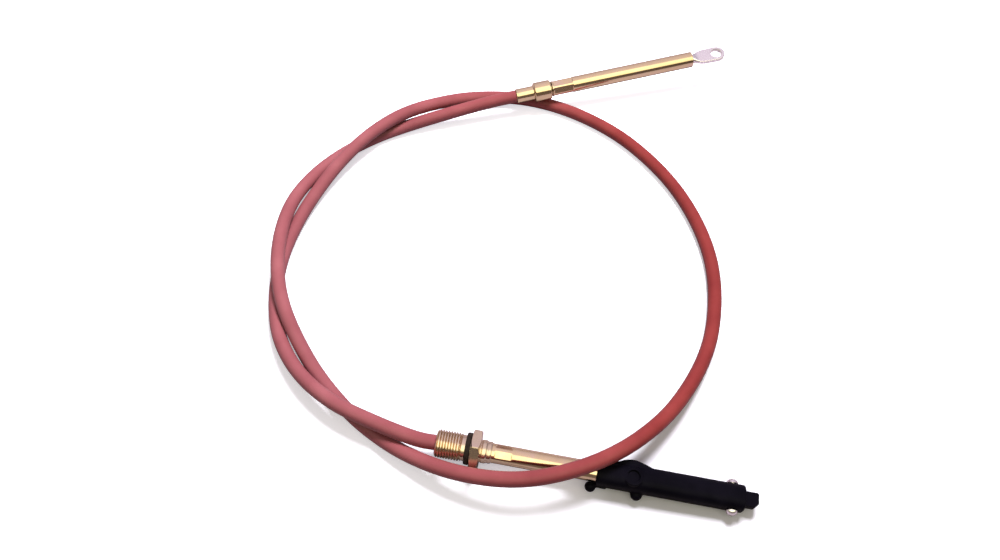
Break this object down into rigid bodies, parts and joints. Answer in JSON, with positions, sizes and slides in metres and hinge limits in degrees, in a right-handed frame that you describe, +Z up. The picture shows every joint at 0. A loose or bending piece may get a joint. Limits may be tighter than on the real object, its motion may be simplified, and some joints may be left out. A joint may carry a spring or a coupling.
{
  "type": "shift cable",
  "caption": "Red jacketed push-pull shift cable with a flat eyelet on a swivelling rod tube at one end and a threaded gland with a black sliding guide at the other.",
  "frame": {"origin": "centre of the box round the two end fittings, at the surface the cable lies on", "axes": "+Z up, +X towards the eyelet and the guide's tongue, +Y from the lower fitting with the gland to the upper fitting with the eyelet"},
  "size_m": [0.2816, 0.3007, 0.0269],
  "materials": {
    "jacket": "smooth red extruded jacket with a soft sheen",
    "plated_fittings": "bright yellow zinc plating on steel",
    "rods": "bright stainless steel",
    "seal": "dull black",
    "guide": "black moulding with a low sheen"
  },
  "bodies": {
    "casing": {"jacket": "jacket", "upper_ferrule": "plated_fittings", "gland": "plated_fittings", "seal_ring": "seal", "lower_tube": "plated_fittings"},
    "swivel_tube": {"upper_tube": "plated_fittings"},
    "eyelet_rod": {"upper_eyelet_rod": "rods"},
    "guide": {"guide": "guide", "lower_rod": "rods", "cross_pin": "rods"}
  },
  "joints": [
    {"name": "upper_swivel", "type": "hinge", "parent": "casing", "child": "swivel_tube", "pos_m": [-0.02857, 0.12017, 0.01541], "axis": [-0.0643, -0.0139, 0.9978], "range_deg": [-7, 7]},
    {"name": "upper_slide", "type": "slide", "parent": "swivel_tube", "child": "eyelet_rod", "axis": [0.9754, 0.2105, 0.0658], "range_m": [0, 0.0445]},
    {"name": "lower_slide", "type": "slide", "parent": "casing", "child": "guide", "axis": [0.984, -0.1753, -0.0311], "range_m": [-0.0445, 0]}
  ],
  "couplings": [
    {"joint": "upper_slide", "follows": "lower_slide", "ratio": -1}
  ]
}
